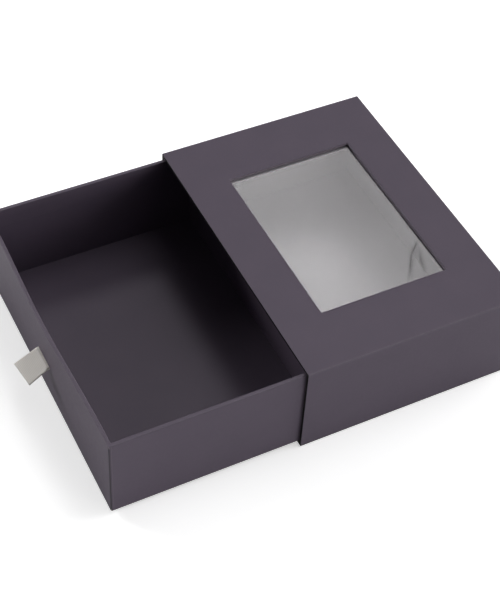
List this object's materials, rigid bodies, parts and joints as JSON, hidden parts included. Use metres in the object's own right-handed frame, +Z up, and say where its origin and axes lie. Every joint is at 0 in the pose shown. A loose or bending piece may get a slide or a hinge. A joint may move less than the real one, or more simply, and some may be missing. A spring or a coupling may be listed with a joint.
{
  "type": "sliding drawer gift box",
  "caption": "Wrapped rigid-board gift box: a sleeve with a film window in its top, and a drawer with a ribbon pull that slides out of its mouth.",
  "frame": {"origin": "centre of the sleeve's underside, on the surface that the box stands on", "axes": "+Z up, +X to the right as seen from the drawer's front, +Y towards the sleeve's closed back; the drawer opens towards -Y"},
  "size_m": [0.21, 0.2916, 0.07],
  "materials": {
    "greyboard": "matte",
    "art_paper": "matte",
    "black_paper": "matte",
    "pet_film": "gloss",
    "adhesive_tape": "satin",
    "kraft_paper": "matte",
    "ribbon": "matte"
  },
  "bodies": {
    "sleeve": {"sleeve_top_board": "greyboard", "sleeve_bottom_board": "greyboard", "sleeve_left_board": "greyboard", "sleeve_right_board": "greyboard", "sleeve_back_board": "greyboard", "sleeve_wrap": "art_paper", "sleeve_base_paper": "art_paper", "sleeve_lining": "black_paper", "sleeve_back_lining": "black_paper", "window_film": "pet_film", "film_tape_left": "adhesive_tape", "film_tape_right": "adhesive_tape", "film_tape_front": "adhesive_tape", "film_tape_rear": "adhesive_tape"},
    "drawer": {"drawer_base_board": "greyboard", "drawer_front_board": "greyboard", "drawer_rear_board": "greyboard", "drawer_left_board": "greyboard", "drawer_right_board": "greyboard", "corner_stay_front_left": "kraft_paper", "corner_stay_front_right": "kraft_paper", "corner_stay_rear_left": "kraft_paper", "corner_stay_rear_right": "kraft_paper", "drawer_wrap": "art_paper", "drawer_base_paper": "art_paper", "drawer_wall_liner": "art_paper", "drawer_floor_liner": "art_paper", "ribbon_pull": "ribbon", "ribbon_patch": "kraft_paper"}
  },
  "joints": [
    {"name": "drawer_slide", "type": "slide", "parent": "sleeve", "child": "drawer", "axis": [0, -1, 0], "range_m": [-0.126, 0.05]}
  ]
}
